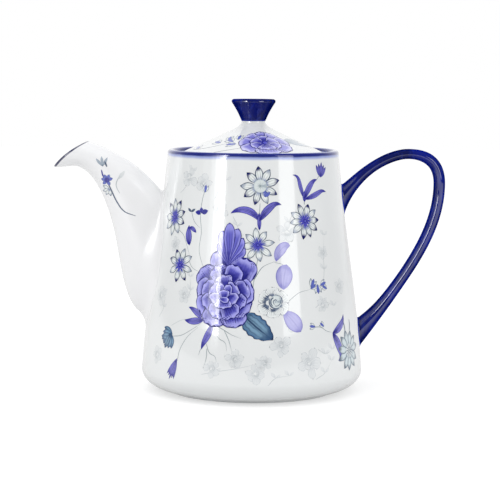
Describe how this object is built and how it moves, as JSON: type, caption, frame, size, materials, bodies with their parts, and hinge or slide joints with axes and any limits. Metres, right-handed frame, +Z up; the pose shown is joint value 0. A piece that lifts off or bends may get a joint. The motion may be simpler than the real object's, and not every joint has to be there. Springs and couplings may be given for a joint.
{
  "type": "teapot",
  "caption": "Tapered porcelain teapot with a hollow beaked spout, a strainer wall behind it, a strap handle and a knobbed lid that lifts out of its seat.",
  "frame": {"origin": "centre of the circle on which the foot ring stands", "axes": "+Z up along the pot's axis, -X towards the spout, +X towards the handle, +Y away from the viewer who sees the spout at the left"},
  "size_m": [0.2184, 0.1232, 0.1623],
  "materials": {
    "white_glaze": "glossy clear glaze over white porcelain, painted in cobalt blue",
    "cobalt_glaze": "glossy deep cobalt blue glaze",
    "bare_porcelain": "unglazed fired porcelain, on the foot ring and the lid's seat"
  },
  "bodies": {
    "pot": {"pot": "white_glaze", "base": "white_glaze", "collar": "white_glaze", "spout": "white_glaze", "handle": "cobalt_glaze"},
    "lid": {"lid": "white_glaze", "flange": "white_glaze", "knob": "cobalt_glaze"}
  },
  "joints": [
    {"name": "lid_lift", "type": "slide", "parent": "pot", "child": "lid", "axis": [0, 0, 1], "range_m": [0, 0.055]}
  ]
}
